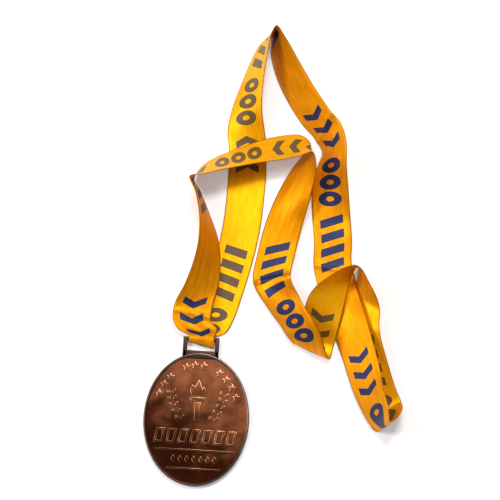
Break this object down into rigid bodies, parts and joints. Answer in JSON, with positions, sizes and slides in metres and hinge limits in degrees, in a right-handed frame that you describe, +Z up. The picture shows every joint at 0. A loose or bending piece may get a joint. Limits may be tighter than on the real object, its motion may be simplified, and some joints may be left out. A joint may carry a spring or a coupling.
{
  "type": "finisher medal",
  "caption": "Oval cast finisher medal with a raised rim, raised work and a rectangular lug, on a printed satin neck ribbon sewn into a loop.",
  "frame": {"origin": "the centre of the medal's flat back, which lies on the surface", "axes": "+Z up out of the medal's face, +Y up the medal towards its lug and the ribbon, +X to the right"},
  "size_m": [0.1336, 0.2452, 0.0207],
  "materials": {
    "antique_copper": "antique copper plating, dark in the recesses and rubbed bright on the raised work",
    "satin_ribbon": "golden yellow satin with dark printed marks",
    "sewing_thread": "spun polyester thread"
  },
  "bodies": {
    "ribbon": {"ribbon_bar_wrap": "satin_ribbon", "ribbon_front_leg": "satin_ribbon", "ribbon_cross_span": "satin_ribbon", "ribbon_middle_span": "satin_ribbon", "ribbon_rising_span": "satin_ribbon", "ribbon_under_span": "satin_ribbon", "ribbon_neck_span": "satin_ribbon", "ribbon_long_span": "satin_ribbon", "ribbon_far_leg": "satin_ribbon", "ribbon_back_leg": "satin_ribbon", "lap_stitching": "sewing_thread"},
    "medal": {"medal_casting": "antique_copper"}
  },
  "joints": [
    {"name": "medal_swing", "type": "hinge", "parent": "ribbon", "child": "medal", "pos_m": [0, 0.0424, 0.00205], "axis": [-1, 0, 0], "range_deg": [0, 90]}
  ]
}
